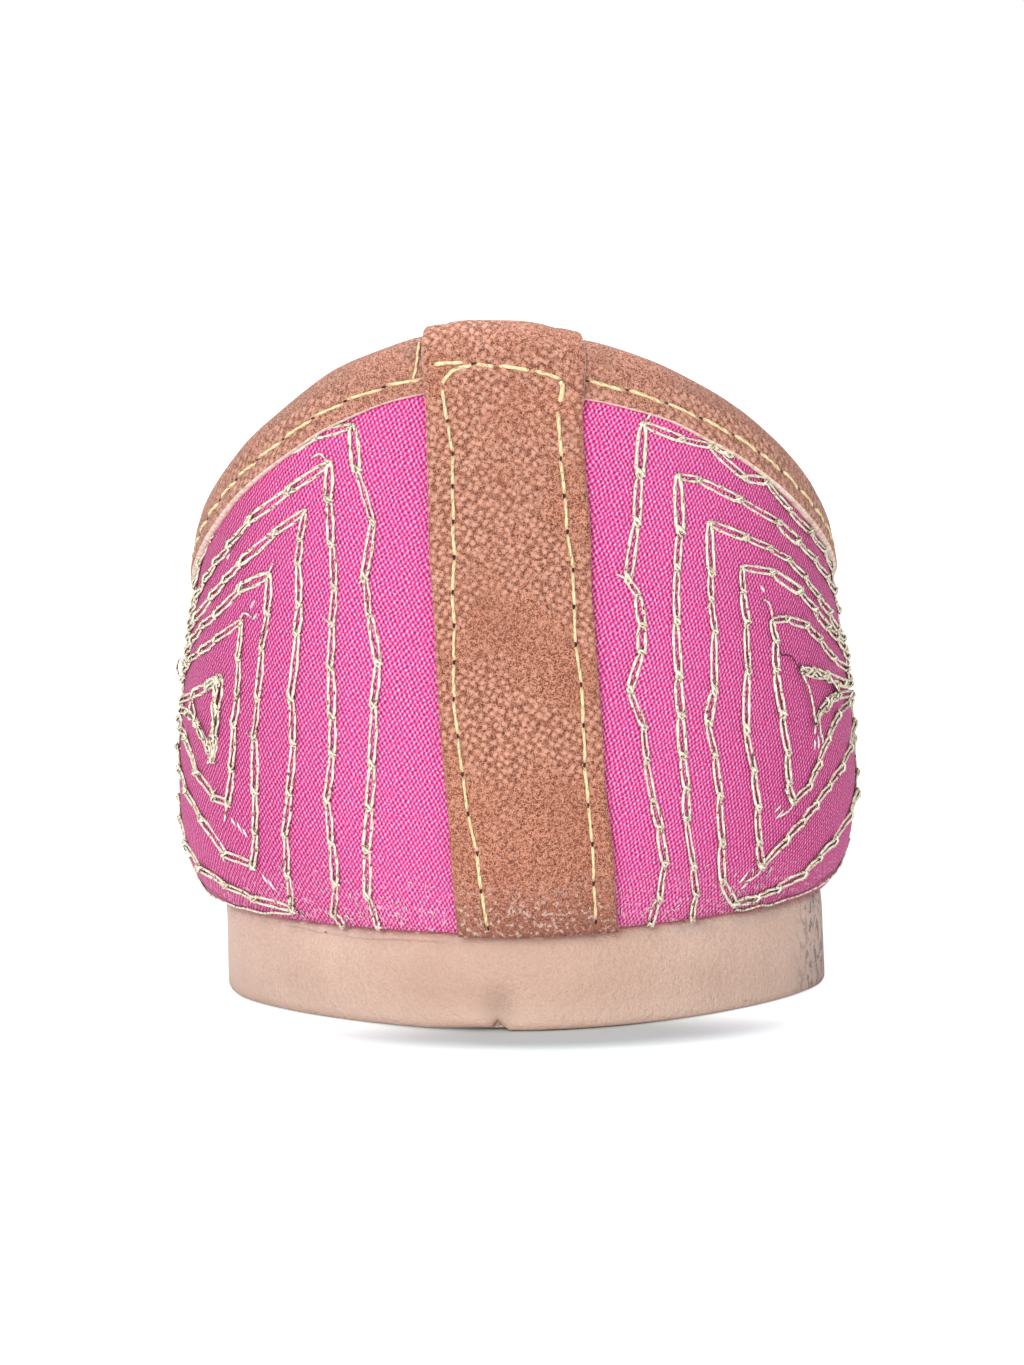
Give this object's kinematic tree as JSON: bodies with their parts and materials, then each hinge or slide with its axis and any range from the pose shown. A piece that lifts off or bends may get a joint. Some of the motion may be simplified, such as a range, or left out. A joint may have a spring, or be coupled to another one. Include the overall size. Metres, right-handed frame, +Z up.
{
  "type": "embroidered slip-on shoe",
  "caption": "Flat slip-on shoe with an embroidered cloth upper, a leather-bound top edge, a leather heel strip and a moulded sole.",
  "frame": {"origin": "on the ground under the middle of the heel", "axes": "+Z up, +Y from the heel to the toe, +X to the right seen from behind the heel"},
  "size_m": [0.0762, 0.2506, 0.0656],
  "materials": {
    "sole": "moulded, matt, beige",
    "pink_cloth": "plain-woven pink cloth",
    "tan_leather": "pebbled, matt, rose tan",
    "cream_lining": "smooth, matt, cream",
    "canvas": "unbleached cloth and felt",
    "board": "leatherboard, matt, brown"
  },
  "bodies": {
    "root": {"unit_sole": "sole", "bottom_filler": "canvas", "insole_board": "board", "footbed_cushion": "canvas", "sock_lining": "cream_lining", "left_quarter": "pink_cloth", "right_quarter": "pink_cloth", "vamp": "pink_cloth", "left_interlining": "canvas", "right_interlining": "canvas", "vamp_interlining": "canvas", "heel_counter": "board", "toe_puff": "board", "left_quarter_lining": "cream_lining", "right_quarter_lining": "cream_lining", "vamp_lining": "cream_lining", "topline_binding": "tan_leather", "heel_strip": "tan_leather"}
  },
  "joints": []
}
